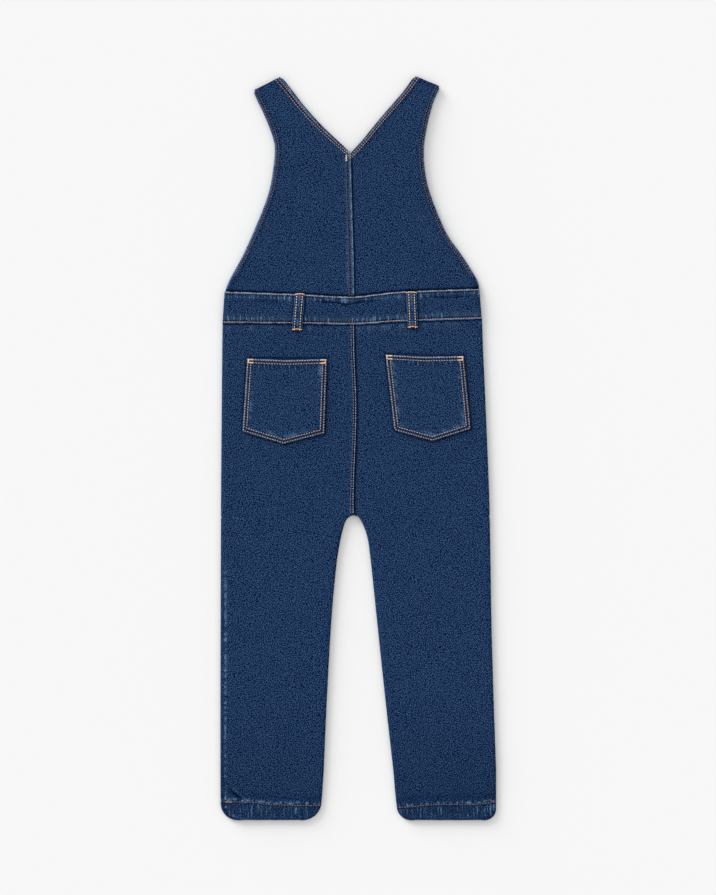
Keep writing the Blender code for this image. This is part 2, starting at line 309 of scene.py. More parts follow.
class Wire:
    # a node's output that can stand in a sum
    def __init__(self, tree, socket):
        self.tree, self.socket = tree, socket

    def sum(self, operation, first, second):
        return addNode(self.tree, "ShaderNodeMath", {"operation": operation}, {0: first, 1: second})

    def __add__(self, other):
        return self.sum("ADD", self, other)

    def __sub__(self, other):
        return self.sum("SUBTRACT", self, other)

    def __rsub__(self, other):
        return self.sum("SUBTRACT", other, self)

    def __mul__(self, other):
        return self.sum("MULTIPLY", self, other)

    def __truediv__(self, other):
        return self.sum("DIVIDE", self, other)

    def __pow__(self, other):
        return self.sum("POWER", self, other)

    __radd__ = __add__
    __rmul__ = __mul__


def addNode(tree, kind, settings=None, inputs=None, output=0):
    node = tree.nodes.new(kind)
    for name, value in (settings or {}).items():
        if name == "stops":
            setStops(node.color_ramp, value)
        else:
            setattr(node, name, value)
    for name, value in (inputs or {}).items():
        if isinstance(value, Wire):
            tree.links.new(value.socket, node.inputs[name])
        else:
            node.inputs[name].default_value = value
    return Wire(tree, node.outputs[output])


def setStops(ramp, stops):
    while len(ramp.elements) < len(stops):
        ramp.elements.new(0.5)
    for element, (position, colour) in zip(ramp.elements, stops):
        element.position = position
        element.color = colour


def mixColour(tree, factor, first, second, blend="MIX"):
    return addNode(tree, "ShaderNodeMix", {"data_type": "RGBA", "blend_type": blend, "clamp_factor": True},
                   {0: factor, 6: first, 7: second}, output=2)


def clamped(wire):
    return addNode(wire.tree, "ShaderNodeClamp", None, {0: wire})


def newMaterial(name):
    material = bpy.data.materials.new(name)
    material.use_nodes = True
    tree = material.node_tree
    return material, tree, tree.nodes["Principled BSDF"]


denim = {
    "dark": (0.0000, 0.0042, 0.0330, 1),
    "mid": (0.0002, 0.0155, 0.0670, 1),
    "light": (0.0480, 0.1040, 0.2080, 1),
    "pale": (0.1800, 0.3200, 0.5000, 1),  # worn ridges
    # colour of the painted shade
    "shadow": (0.0010, 0.0060, 0.0250, 1),
    "grain": 1000.0,
    "slub": 300.0,
    "folds": 440.0,  # puckers beside stitching
    "twill": 0.0036,  # from one diagonal streak of the weave to the next
    "roughness": 0.86,
}


def denimMaterial(name, tint=1.0, wear=1.0, seed=0.0):
    material, tree, shader = newMaterial(name)
    place = addNode(tree, "ShaderNodeTexCoord", output=3)
    apart = addNode(tree, "ShaderNodeSeparateXYZ", None, {0: place})
    across, up, height = (Wire(tree, socket) for socket in apart.socket.node.outputs)
    # the weave lies in the cloth; round a folded edge the height carries it on
    plane = addNode(tree, "ShaderNodeCombineXYZ", None, {0: across + height * 0.9, 1: up + height * 0.7})

    def noise(size, turn=0.0, stretch=(1, 1, 1), detail=0.0, shift=0.0):
        spot = addNode(tree, "ShaderNodeMapping", None, {
            0: plane, 1: (seed + shift, seed * 0.7, 0), 2: (0, 0, math.radians(turn)), 3: stretch,
        })
        return addNode(tree, "ShaderNodeTexNoise", {"noise_dimensions": "2D"},
                       {"Vector": spot, "Scale": size, "Detail": detail, "Roughness": 0.6})

    grain = noise(denim["grain"], turn=-45, stretch=(1, 0.88, 1))
    spots = noise(denim["grain"] * 1.06, turn=20, shift=0.4)
    slub = noise(denim["slub"], stretch=(1, 0.3, 1), detail=2.0)
    cloud = noise(22.0, detail=3.0)
    fold = noise(denim["folds"], stretch=(1, 0.1, 1), detail=1.0, shift=0.2)
    lines = addNode(tree, "ShaderNodeMath", {"operation": "SINE"},
                    {0: (across + up + slub * 0.002) * (2 * math.pi / denim["twill"])})
    # the first attribute lightens the cloth where it is worn (above 0) and is painted shade where it is
    # below 0
    worn, groove, puckered = (
        addNode(tree, "ShaderNodeAttribute", {"attribute_name": name}, output=2)
        for name in ("wear", "groove", "pucker")
    )
    # painted shade beside the lines that other parts lie along or overlap
    paintedShadeFalloff = (groove * 0.6) ** 2.0 * -1.0
    paintedShadeBesideEdges = addNode(tree, "ShaderNodeMath", {"operation": "EXPONENT"}, {0: paintedShadeFalloff})
    # puckers painted in the colour: worn light peaks, and painted shade in the troughs between them
    ridge = (fold - 0.6) * 10.0 * puckered
    # flecks: where the pale weft shows between the indigo threads
    fleck = clamped((grain - 0.5) * 4.8 + (spots - 0.5) * 4.8 + (slub - 0.5) * 0.4
                    + (cloud - 0.5) * 0.25 + lines * 0.12 + 0.20 * tint)
    stops = ((0.0, denim["dark"]), (0.45, denim["mid"]), (1.0, denim["light"]))
    shade = addNode(tree, "ShaderNodeValToRGB", {"stops": stops}, {0: fleck})
    rubbed = clamped((clamped(worn) * wear + clamped(ridge) * 0.5) * ((grain - 0.5) * 2.6 + 0.95))
    # painted shade: below 0 of the first attribute, beside overlapped lines and in pucker troughs, the
    # colour turns towards the shadow colour
    paintedShadeAmount = clamped(worn * -1.0 + paintedShadeBesideEdges + clamped(ridge * -1.0) * 0.4)
    faded = mixColour(tree, rubbed, shade, denim["pale"])
    coloured = mixColour(tree, paintedShadeAmount * 0.92, faded, denim["shadow"])
    relief = grain * 0.6 + lines * 0.25 + slub * 0.3
    bump = addNode(tree, "ShaderNodeBump", None, {"Strength": 0.3, "Distance": 0.0003, "Height": relief})
    tree.links.new(coloured.socket, shader.inputs["Base Color"])
    tree.links.new(bump.socket, shader.inputs["Normal"])
    shader.inputs["Roughness"].default_value = denim["roughness"]
    shader.inputs["Specular IOR Level"].default_value = 0.0
    return material


thread = {
    "tan": (0.62, 0.34, 0.19, 1),
    "cream": (0.86, 0.70, 0.54, 1),
    "beige": (0.66, 0.52, 0.43, 1),
    "orange": (0.80, 0.42, 0.20, 1),
    "rust": (0.30, 0.15, 0.09, 1),
    "quiet": (0.060, 0.045, 0.060, 1),
    "dusty": (0.150, 0.085, 0.080, 1),
    "grey": (0.30, 0.26, 0.29, 1),
    "pale": (0.72, 0.74, 0.80, 1),
}


# each thread's two colours
threadColours = {
    "tan": ("tan", "beige"),
    "tack": ("tan", "cream"),
    "beige": ("beige", "tan"),
    "loop": ("cream", "beige"),
    "rust": ("rust", "grey"),
    "sunken": ("quiet", "dusty"),
    "hem": ("dusty", "tan"),
    "bar": ("orange", "tan"),
    "seat": ("dusty", "grey"),
    "pale": ("grey", "pale"),
}


def threadMaterial(name, first, second):
    material, tree, shader = newMaterial(name)
    place = addNode(tree, "ShaderNodeTexCoord", output=3)
    patch = addNode(tree, "ShaderNodeTexNoise", None, {"Vector": place, "Scale": 420.0, "Detail": 1.0})
    ply = addNode(tree, "ShaderNodeTexNoise", None, {"Vector": place, "Scale": 3000.0, "Detail": 1.0})
    colour = mixColour(tree, clamped((patch - 0.5) * 3.0 + 0.4), first, second)
    bump = addNode(tree, "ShaderNodeBump", None, {"Strength": 0.4, "Distance": 0.0002, "Height": ply})
    tree.links.new(colour.socket, shader.inputs["Base Color"])
    tree.links.new(bump.socket, shader.inputs["Normal"])
    shader.inputs["Roughness"].default_value = 0.6
    shader.inputs["Sheen Weight"].default_value = 0.1
    return material


button = {
    "metal": (0.40, 0.30, 0.19, 1),
    "worn": (0.62, 0.50, 0.34, 1),
    "roughness": 0.38,
}


def buttonMaterial():
    material, tree, shader = newMaterial("brass button")
    place = addNode(tree, "ShaderNodeTexCoord", output=3)
    patch = addNode(tree, "ShaderNodeTexNoise", None, {"Vector": place, "Scale": 260.0, "Detail": 4.0})
    colour = mixColour(tree, clamped((patch - 0.45) * 3.0), button["metal"], button["worn"])
    tree.links.new(colour.socket, shader.inputs["Base Color"])
    shader.inputs["Metallic"].default_value = 1.0
    shader.inputs["Roughness"].default_value = button["roughness"]
    return material


bodiceDenim = denimMaterial("bodice denim", tint=1.02, seed=0.31)
bandDenim = denimMaterial("waistband denim", tint=0.95, seed=1.7)
legDenim = denimMaterial("leg denim", tint=0.97, seed=2.9)
pocketDenim = denimMaterial("pocket denim", tint=1.25, seed=4.3)
innerDenim = denimMaterial("front denim", tint=1.0, seed=5.9)
threads = {
    name: threadMaterial(name + " thread", thread[first], thread[second])
    for name, (first, second) in threadColours.items()
}
print("materials ready")


# waist lines, which the bodice, the band and the legs share

waist = {
    "top": ((-159.8, 632.4), (-70.0, 629.2), (-11.0, 626.4), (26.0, 629.8), (55.0, 632.5), (144.8, 635.9)),
    "bottom": ((-162.4, 597.3), (-70.0, 596.5), (-5.0, 595.7), (54.0, 599.2), (147.6, 602.4)),
    "margin": 1.1,  # from the topstitching to the band's edge
}
waistTop = smoothLine(waist["top"], 2.0)
waistBottom = smoothLine(waist["bottom"], 2.0)


middleSeam = {
    "rise": 0.9,  # its lap on the left half
    "lapEnds": (5.5, 8.5),
    "dip": 0.45,  # the right half goes under it
    "dipEnds": (2, 7),
}


def seamLap(side, fromSeam):
    if side == "left":
        return middleSeam["rise"] * (1 - smoothStep(*middleSeam["lapEnds"], fromSeam))
    return -middleSeam["dip"] * (1 - smoothStep(*middleSeam["dipEnds"], fromSeam))


def waistDip(x, fromWaist, dip, height, size, seed):
    # the cloth goes down into the waistband's seam and puckers beside it
    return height * wobble(x, size, seed) * bell(fromWaist, 6, 4.5) - dip * bell(fromWaist, 0, 2.6)


def waistY(line, x):
    return np.interp(x, line[:, 0], line[:, 1])


def followWaist(sheet, line, row, shift, reach=45.0):
    # bends the rows near the waist so that the last one runs along the band
    x, y = sheet["x"], sheet["y"]
    straight = np.interp(x, x[row, [0, -1]], y[row, [0, -1]])
    near = 1 - smoothStep(0, reach, np.abs(y - straight))
    sheet["y"] = y + (waistY(line, x) + shift - straight) * near


# pockets lie on the back legs, so their outlines come first
pockets = {
    "left": {"top": (-133.1, 553.3, -37.7, 552.8), "bottom": (-138.7, 466.2, -40.7, 463.8)},
    "right": {"top": (32.8, 557.9, 126.4, 556.3), "bottom": (43.3, 467.4, 134.6, 469.3)},
    "sag": 1.8,
    "point": 13.8,
    "wall": 1.3,
    "puff": 0.7,  # how far the middle stands above the stitched edge
    "turnedEdge": 0.45,
    "topPucker": 0.25,
    "edgePucker": 0.16,
    "seeds": {"left": 70, "right": 80},
    "firstRow": 1.2,
    "secondRow": 4.8,
}


def pocketEdge(side, share):
    # left and right end of a pocket's row, share 0 at the bottom and 1 at the mouth
    low, high = np.array(pockets[side]["bottom"]), np.array(pockets[side]["top"])
    return low + (high - low) * share


def squareOff(start, end):
    run = end - start
    return np.array([-run[1], run[0]]) / np.linalg.norm(run)


def pocketOutline(side, inset):
    ends = pocketEdge(side, 0.0), pocketEdge(side, 1.0)
    bottomMiddle = ((ends[0][0] + ends[0][2]) / 2, (ends[0][1] + ends[0][3]) / 2 - pockets["point"])
    topMiddle = ((ends[1][0] + ends[1][2]) / 2, (ends[1][1] + ends[1][3]) / 2 - pockets["sag"])
    corners = [ends[1][0:2], ends[0][0:2], bottomMiddle, ends[0][2:4], ends[1][2:4], topMiddle]
    corners = np.array(corners)
    centre = corners.mean(axis=0)
    inward = []
    for index, corner in enumerate(corners):
        before, after = corners[index - 1], corners[(index + 1) % len(corners)]
        first, second = squareOff(before, corner), squareOff(corner, after)
        middle = (first + second) / np.linalg.norm(first + second)
        if (centre - corner) @ middle < 0:
            middle = -middle
        inward.append(corner + middle * inset / max(abs(middle @ first), 0.3))
    return np.array(inward)


# belt loops: left x, right x and y at each end
loops = {
    "left": {"top": (-76.0, -64.2, 631.6), "bottom": (-79.4, -67.4, 586.9)},
    "right": {"top": (57.2, 70.2, 633.8), "bottom": (59.6, 71.2, 589.9)},
    "wall": 1.5,
    "bow": 0.9,
    "rows": 3.3,  # topstitching each side of the middle
    "tack": ((0.0, -0.5), (0.3, 0.3), (0.7, 0.3), (1.0, -0.4)),  # the bar across each end is bowed
}


def loopOutline(side):
    low, high = loops[side]["bottom"], loops[side]["top"]
    corners = [(low[0], low[2]), (high[0], high[2]), (high[1], high[2]), (low[1], low[2])]
    return np.array(corners + corners[:1])


# legs, back and front
legs = {
    "left": {
        # each end of the hem: x, corner radius and lean
        "hem": {"left": (-165.2, 20.0, 0), "right": (-44.2, 20.0, 0.085)},
        # its stitching
        "hemLine": ((-164, 21.7), (-151, 21.6), (-124, 20.8), (-112, 19.3), (-88, 17.9), (-47, 17.4)),
        "rows": (
            (-165.3, 60, -41.4, 60, -0.2, 0.85, 1, 1),
            (-165.3, 150, -37.4, 150, 0, 0.85, 1, 1),
            (-165.1, 240, -32.2, 240, 0, 0.85, 1, 1),
            (-164.9, 305, -26.3, 305, 0, 0.85, 1, 1),
            (-164.8, 335, -21.6, 335, 0, 0.85, 1, 1),
            (-164.7, 349, -18.2, 349, 0, 0.85, 1, 0.9),
            (-164.7, 358, -13.9, 359.2, 0, 0.85, 1, 0.5),
            (-164.7, 362.5, -10.1, 363.9, 0, 0.85, 1, 0.3),
            (-164.7, 366, -5.3, 365.6, 0, 0.85, 1, 0),
            (-164.5, 400, -5.2, 398, 0, 0.85, 1, 0),
            (-163.8, 490, -2.2, 489, 0, 0.85, 1, 0),
            (-163.2, 557, -4.4, 556, 0, 0.85, 1, 0),
            (-162.7, 596, -5.1, 596, 0, 0.85, 1, 0),
        ),
        "corner": ("right", 8),
        "shade": 0.15,  # how much darker the lower leg is
        "drag": (  # lighter line along the fold that runs into the hem, and painted shade in its trough
            {"start": (-151.5, 38.4), "end": (-137, 26.4), "width": 1.1, "depth": -0.6},
            {"start": (-156, 37.2), "end": (-139, 25.2), "width": 1.5, "depth": 1.2},
        ),
        "creases": (
            {"start": (-155, 38), "end": (-140, 24), "width": 2.6, "depth": 0.7},
            {"start": (-120, 330), "end": (-60, 372), "width": 9, "depth": 0.5, "bend": 4},
            {"start": (-60, 395), "end": (-18, 372), "width": 6, "depth": 0.45, "bend": -3},
            {"start": (-148, 205), "end": (-100, 214), "width": 8, "depth": 0.35, "bend": 3},
            {"start": (-70, 118), "end": (-44, 96), "width": 6, "depth": 0.35},
        ),
    },
    "right": {
        "hem": {"left": (45.6, 15.0, -0.105), "right": (165.4, 13.0, 0)},
        "hemLine": ((47, 15.1), (61, 15.5), (76, 17.2), (85, 18.0), (106, 18.7), (142, 18.8), (152, 19.9),
                    (165, 21.6)),
        "rows": (
            (42.0, 60, 165.3, 60, -0.2, 0.85, 1, 1),
            (31.9, 150, 162.2, 150, 0, 0.85, 1, 1),
            (22.4, 240, 159.7, 240, 0, 0.85, 1, 1),
            (15.6, 305, 158.7, 305, 0, 0.85, 1, 1),
            (11.8, 335, 158.2, 335, 0, 0.85, 1, 1),
            (7.8, 349, 157.9, 349, 0, 0.85, 0.9, 1),
            (2.4, 359.2, 157.8, 358, 0, 0.85, 0.5, 1),
            (-1.2, 363.9, 157.7, 362.5, 0, 0.85, 0.3, 1),
            (-6.0, 365.6, 157.6, 366, 0, 0.85, 0, 1),
            (-6.0, 398, 156.7, 400, 0, 0.85, 0, 1),
            (-3.1, 489, 153.0, 490, 0, 0.85, 0, 1),
            (-5.2, 556, 150.0, 557, 0, 0.85, 0, 1),
            (-6.0, 596, 148.4, 601, 0, 0.85, 0, 1),
        ),
        "corner": ("left", 8),
        "shade": 0.22,
        "creases": (
            {"start": (20, 378), "end": (84, 338), "width": 9, "depth": 0.5, "bend": -4},
            {"start": (60, 210), "end": (112, 196), "width": 8, "depth": 0.35, "bend": 3},
            {"start": (52, 70), "end": (90, 92), "width": 7, "depth": 0.4},
            {"start": (150, 132), "end": (126, 118), "width": 6, "depth": 0.35},
        ),
    },
    "hemLift": -1.4,  # the leg is flatter at its end
    "low": 0.85,
    "frontInset": 4.6,
    "seatY": (358, 372),  # where the two legs become one seat
    "waves": ((0.3, 90, 11), (0.12, 34, 12)),
    "hemStep": 0.35,  # the hem is turned up twice
    "hemPull": (0.3, 1.4),  # its stitching draws it in
    "hemPuckers": ((0.18, 0.5, 5.2, 21), (0.12, -0.3, 2.9, 22)),
    "overHemPuckers": ((0.25, 0.3, 5.5, 23),),
    "seamPucker": 0.15,
    "waistDip": (0.7, 0.28, 5.0, 25),
    # worn light lines beside the hem's stitching, and painted shade in its dip and above the hem
    "hemWearAndShade": ((1.7, 1.0, 0.315, 0.63, 1.9, 31), (-0.9, 0.9, -0.6), (9, 4, -0.22),
                (3.4, 1.5, 0.225, 0.405, 1.7, 37)),
    # worn line at the seat seam's edge, and lines of painted shade beside it
    "seatWearAndShade": ((0.5, 0.7, 0.12, 0.3, 3.0, 38), (2.2, 0.9, -0.6), (8.4, 1.2, -0.25)),
    "outSeamWear": ((5.0, 1.6, 0.26, 0.5, 2.6, 33),),
    "outSeamShade": ((2.4, 1.4, -0.385, -0.275, 7, 36),),
    "hemPatch": {"x": -156, "y": 30, "size": 6, "strength": 0.4},  # rubbed spot over the left hem
}


def roundedIn(radius, height):
    # how far a round corner is drawn in at this height
    return radius - math.sqrt(max(0, radius**2 - max(0, radius - height) ** 2))


def hemRows(hem, step=1.2, upTo=30.0):
    # rows that round the two corners of a hem
    (leftX, leftRadius, leftLean), (rightX, rightRadius, rightLean) = hem["left"], hem["right"]
    rows = []
    for height in np.concatenate([[0, 0.25, 0.8, 1.6], np.arange(2.6, upTo, step)]):
        lift = legs["hemLift"] * (1 - smoothStep(6, 60, height))
        left = leftX + roundedIn(leftRadius, height) + leftLean * (height - 20)
        right = rightX - roundedIn(rightRadius, height) + rightLean * (height - 20)
        rows.append((left, height, right, height, lift, legs["low"], 1, 1))
    return np.array(rows)


def legSheet(side, level, step, rolled=True):
    leg = legs[side]
    body = tableRows(leg["rows"], step, leg["corner"])
    hem = hemRows(leg["hem"], 1.2 if rolled else 4.0)
    ankle = tableRows([hemRows(leg["hem"])[-1], body[0]], step)[1:-1]
    rows = np.concatenate([hem, ankle, body])
    if not rolled:
        rows[:, 6:] = 0
        rows[:, 0] += 1.1 * (side == "right") * (rows[:, 1] > 358)  # clear of the other leg
    return spread(rows, level, "fold", "fold", step, fabric["wall"] / 2)


def backLeg(side):
    node = "back_leg_" + side
    leg = legs[side]
    sheet = legSheet(side, top(node) - fabric["wall"] / 2, fabric["step"])
    followWaist(sheet, waistBottom, -1, -waist["margin"] - fabric["seamGap"])
    x, y = sheet["x"], sheet["y"]
    fromSeam = sheet["right"] if side == "left" else sheet["left"]
    onSeat = smoothStep(*legs["seatY"], y)
    inner = smoothStep(0, 14, np.minimum(sheet["left"], sheet["right"]))  # 0 at the folds
    fromHem = y - np.interp(x, *zip(*leg["hemLine"]))
    fromWaist = waistY(waistBottom, x) - y
    inHem = smoothStep(1.5, 5, y) * (1 - smoothStep(-4.5, -0.5, fromHem))

    lift = waves(x, y, legs["waves"]) + creases(x, y, leg["creases"])
    pull, pullWidth = legs["hemPull"]
    lift = lift - pull * bell(fromHem, 0, pullWidth)
    lift = lift + legs["hemStep"] * (1 - smoothStep(-1.5, 0.5, fromHem))
    lift = lift + puckers(x, y, legs["hemPuckers"]) * inHem
    lift = lift + puckers(x, y, legs["overHemPuckers"]) * bell(fromHem, 4, 4)
    lift = lift + seamLap(side, fromSeam) * onSeat
    if side == "left":
        lift = lift + legs["seamPucker"] * wobble(y, 4.5, 24) * bell(fromSeam, 3.5, 3) * onSeat
    lift = lift + waistDip(x, fromWaist, *legs["waistDip"])
    sheet["z"] = sheet["z"] + lift * inner + lift * (1 - inner) * onSeat * (fromSeam < 14)
    sheet["z"] = np.maximum(sheet["z"], fabric["wall"] / 2)

    wear = wornAndShadedLines(fromHem, x, legs["hemWearAndShade"]) - 0.02 * inHem
    wear = wear - leg["shade"] * (1 - smoothStep(20, 190, y)) * (1 - 0.8 * inHem)
    if side == "left":
        patch = legs["hemPatch"]
        fromOut = sheet["left"]
        wear = wear + wornAndShadedLines(fromSeam, y, legs["seatWearAndShade"]) * onSeat
        wear = wear + wornAndShadedLines(fromOut, y, legs["outSeamWear"]) * (1 - smoothStep(250, 330, y))
        wear = wear + wornAndShadedLines(fromOut, y, legs["outSeamShade"]) * (1 - smoothStep(230, 300, y))
        wear = wear + creases(x, y, leg["drag"])
        spot = bell(x, patch["x"], patch["size"]) * bell(y, patch["y"], patch["size"])
        wear = wear + patch["strength"] * spot * (0.6 + 0.8 * wobble(x + y, 1.8, 35))
    wear = wear + 0.16 * np.clip(wobble(x, 4.2, 34), 0, 1) * bell(fromWaist, 6, 4)
    # painted shadow line beside the waistband's lower edge
    sheet["wear"] = wear - 0.9 * bell(fromWaist, 1.9, 1.3)
    sheet["pucker"] = 0.5 * inHem + 0.5 * bell(fromHem, 3.0, 2.2)

    # painted shade beside what lies on the leg, or over its edge, where it keeps the light off
    pocket = pocketOutline(side, -0.7)
    lines = [np.vstack([pocket[:5], pocket[0]]), loopOutline(side)]
    lines.append(respace(waistBottom - (0, waist["margin"] + 0.4), 12))
    if side == "right":
        edge = sheet["leftLine"] + (1.6, 0)
        lines.append(edge[y[:, 0] > 366][::8])
    sheet["groove"] = distanceTo(x, y, lines)
    piece = cloth("cloth_" + node, sheet, legDenim, fabric["wall"])
    return finishPiece(piece, node), sheet


def frontLeg(side):
    node = "front_leg_" + side
    sheet = legSheet(side, fabric["wall"] / 2, 5.0, rolled=False)
    followWaist(sheet, waistBottom, -1, -waist["margin"] - fabric["seamGap"])
    # narrower than the back, except at the seat seam
    for edge, sign in (("left", 1), ("right", -1)):
        near = 1 - np.clip(sheet[edge], 0, 30) / 30
        held = 1 - smoothStep(345, 366, sheet["y"]) if edge != side else 1.0
        sheet["x"] = sheet["x"] + sign * legs["frontInset"] * near * held
    sheet["z"] = np.full_like(sheet["x"], fabric["wall"] / 2)
    sheet["wear"] = 0.3 * bell(sheet["y"], 20, 1.2)
    piece = cloth("cloth_" + node, sheet, innerDenim, fabric["wall"])
    return finishPiece(piece, node), sheet


sides = ("left", "right")
backLegs = {side: backLeg(side) for side in sides}
frontLegs = {side: frontLeg(side) for side in sides}
print("legs cut")


# bodice: two halves, each with its strap, which turns over the shoulder and ends on the bib
bodice = {
    "left": {
        "rows": (
            (-159.5, 634.0, -4.9, 629.4, -1.2, 1.6, 1, 0),
            (-154.3, 648, -5.0, 646, -1.2, 1.1, 1, 0),
            (-137.5, 679, -5.6, 680, -0.6, 1.1, 1, 0),
            (-119.4, 720, -6.9, 722, 0, 1.1, 1, 0),
            (-107.5, 752, -8.1, 764, 0, 1.2, 1, 0),
            (-102.4, 778, -9.0, 799.5, 0, 1.4, 1, 0),
            (-100.2, 806, -22.6, 812.5, 0, 2.0, 1, 0.8),
            (-105.0, 826, -45.4, 834.5, -0.6, 2.1, 1, 1),
            (-114.1, 848, -64.9, 856.5, -1.6, 2.1, 1, 1),
            (-120.4, 860.5, -77.5, 873, -2.2, 2.1, 1, 1),
            (-126.0, 874.2, -92.1, 891.6, -2.2, 2.1, 0, 0),
        ),
        "strap": (
            (-124.1, 870.8, -90.3, 887.3, 0.6, 0.6, 0, 0),
            (-117.5, 858, -82.5, 873, 0.6, 0.6, 0, 0),
            (-105.5, 834, -70.5, 848, 0.6, 0.6, 0, 0),
            (-96.5, 808, -61.5, 820, 1.6, 0.6, 0, 0),
            (-90.5, 788, -56.0, 794, 3.4, 0.6, 0, 0),
            (-87.5, 765, -52.5, 767.5, 3.4, 0.6, 0, 0),
        ),
        "corner": ("right", 5),
        # each row's distance from the neck edge, at the shoulder and at the point
        "neckRows": ((4.4, 2.2), (7.9, 4.4)),
        # worn line inside the neck's edge, and painted shade where the edge rolls down
        "neckWearAndShade": ((1.9, 0.8, 0.68, 0.2975, 5, 52), (0.0, 0.8, -0.5)),
    },
    "right": {
        "rows": (
            (-5.8, 629.4, 145.0, 637.3, -1.2, 1.6, 0, 1),
            (-5.9, 646, 141.8, 649, -1.2, 1.1, 0, 1),
            (-6.5, 680, 123.0, 679, -0.6, 1.1, 0, 1),
            (-7.1, 700, 108.4, 699, 0, 1.1, 0, 1),
            (-7.8, 722, 98.3, 720, 0, 1.1, 0, 1),
            (-9.0, 764, 86.0, 752, 0, 1.2, 0, 1),
            (-9.4, 799.5, 80.2, 778, 0, 1.4, 0, 1),
            (3.5, 813.5, 78.8, 806, 0, 2.0, 0.8, 1),
            (22.5, 837, 82.6, 832, -0.6, 2.1, 1, 1),
            (42.6, 860.5, 88.2, 854, -1.6, 2.1, 1, 1),
            (55.5, 876.0, 92.6, 866.5, -2.2, 2.1, 1, 1),
            (67.2, 892.4, 98.7, 879.0, -2.2, 2.1, 0, 0),
        ),
        "strap": (
            (65.3, 888.2, 96.2, 875.8, 0.6, 0.6, 0, 0),
            (60.0, 873, 88.4, 861, 0.6, 0.6, 0, 0),
            (47.5, 848, 81.0, 835, 0.6, 0.6, 0, 0),
            (37.0, 820, 72.0, 808, 1.6, 0.6, 0, 0),
            (32.0, 794, 66.5, 788, 3.4, 0.6, 0, 0),
            (29.5, 767.5, 64.5, 765, 3.4, 0.6, 0, 0),
        ),
        "corner": ("left", 6),
        "neckRows": ((3.0, 2.4), (5.6, 4.6)),
        # worn line inside the neck's edge, and painted shade where the edge rolls down
        "neckWearAndShade": ((0.9, 0.8, 0.48, 0.21, 5, 52), (0.0, 0.8, -0.5)),
    },
    "shoulderCorner": 5.0,
    "armholeRows": ((2.6, 2.3), (4.4, 5.2)),
    "turnedEdge": 0.45,  # how far the hemmed edge stands above the single cloth
    "neckPoint": 799.5,
    "waves": ((0.25, 70, 41), (0.1, 28, 42)),
    "armholePucker": 0.16,
    "waistDip": (0.8, 0.22, 5.5, 45),
    # worn line at the armhole's edge, and painted shade beyond its turned edge
    "armholeWearAndShade": ((0.5, 0.8, 0.336, 0.168, 4, 51), (6.8, 1.0, -0.3)),
    "seamWear": ((1.0, 1.0, 0.6, 0.35, 3.4, 53),),
    "shoulderShade": 0.45,
}


def shoulderRows(back, front, steps=9):
    # rows that carry the strap over the shoulder in a half circle
    radius = (back[4] - front[4]) / 2
    outward = squareOff(back[0:2], back[2:4]) * radius
    rows = []
    for step in range(1, steps):
        angle = math.pi * step / steps
        row = back * (1 - step / steps) + front * step / steps
        row[0:2] += outward * math.sin(angle)
        row[2:4] += outward * math.sin(angle)
        row[4] = (back[4] + front[4]) / 2 + radius * math.cos(angle)
        rows.append(row)
    return np.array(rows)


def roundedEnds(rows, peak, radius):
    # draws in the ends of the rows near the shoulder fold, so that its corners are round
    middle = (rows[:, 0:2] + rows[:, 2:4]) / 2
    outward = squareOff(rows[peak, 0:2], rows[peak, 2:4])
    away = np.abs((middle - middle[peak]) @ outward) + 0.6  # no row shrinks to a point
    inward = radius - np.sqrt(np.maximum(0, radius**2 - np.maximum(0, radius - away) ** 2))
    run = rows[:, 2:4] - rows[:, 0:2]
    run = run / np.linalg.norm(run, axis=1)[:, None]
    rows[:, 0:2] += run * inward[:, None]
    rows[:, 2:4] -= run * inward[:, None]
    return rows


